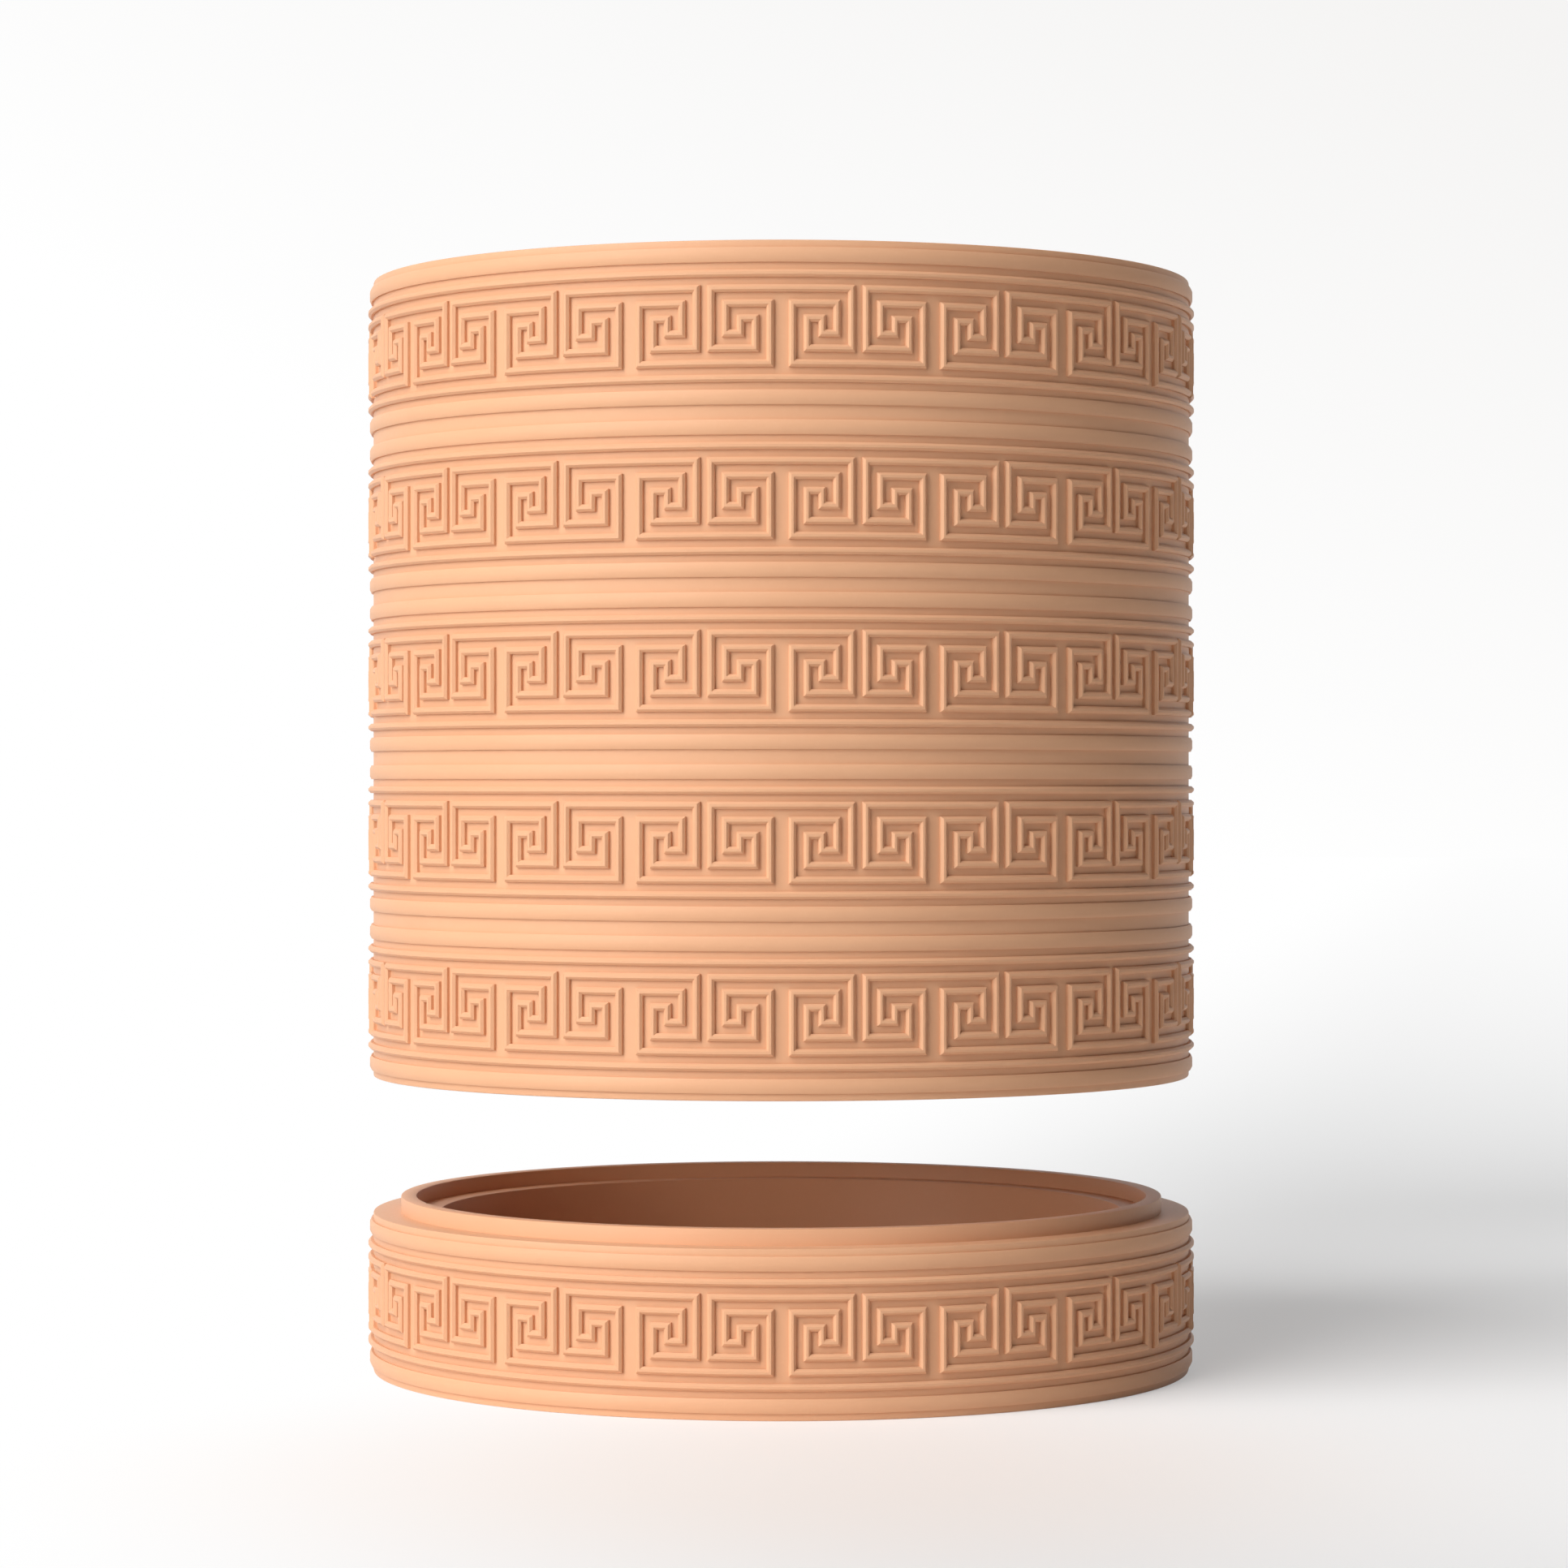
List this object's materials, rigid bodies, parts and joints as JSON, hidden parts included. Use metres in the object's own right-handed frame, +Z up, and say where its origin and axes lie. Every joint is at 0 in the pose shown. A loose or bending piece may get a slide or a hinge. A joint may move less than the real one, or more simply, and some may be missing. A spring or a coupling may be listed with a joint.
{
  "type": "flower vase",
  "caption": "Straight cylindrical clay flower pot with turned ribs and key-pattern bands, lifted clear of a matching base tray whose thin ring seats in a groove under the pot.",
  "frame": {"origin": "middle of the tray's flat underside", "axes": "+Z up along the axis that the pot and the tray are turned round, -Y towards the picture's camera"},
  "size_m": [0.16, 0.16, 0.2097],
  "materials": {
    "pot_clay": "unglazed, matte",
    "tray_clay": "unglazed, matte"
  },
  "bodies": {
    "pot": {"vase_body": "pot_clay"},
    "tray": {"base_tray": "tray_clay"}
  },
  "joints": [
    {"name": "tray_slide", "type": "slide", "parent": "pot", "child": "tray", "axis": [0, 0, 1], "range_m": [0, 0.0259]}
  ]
}
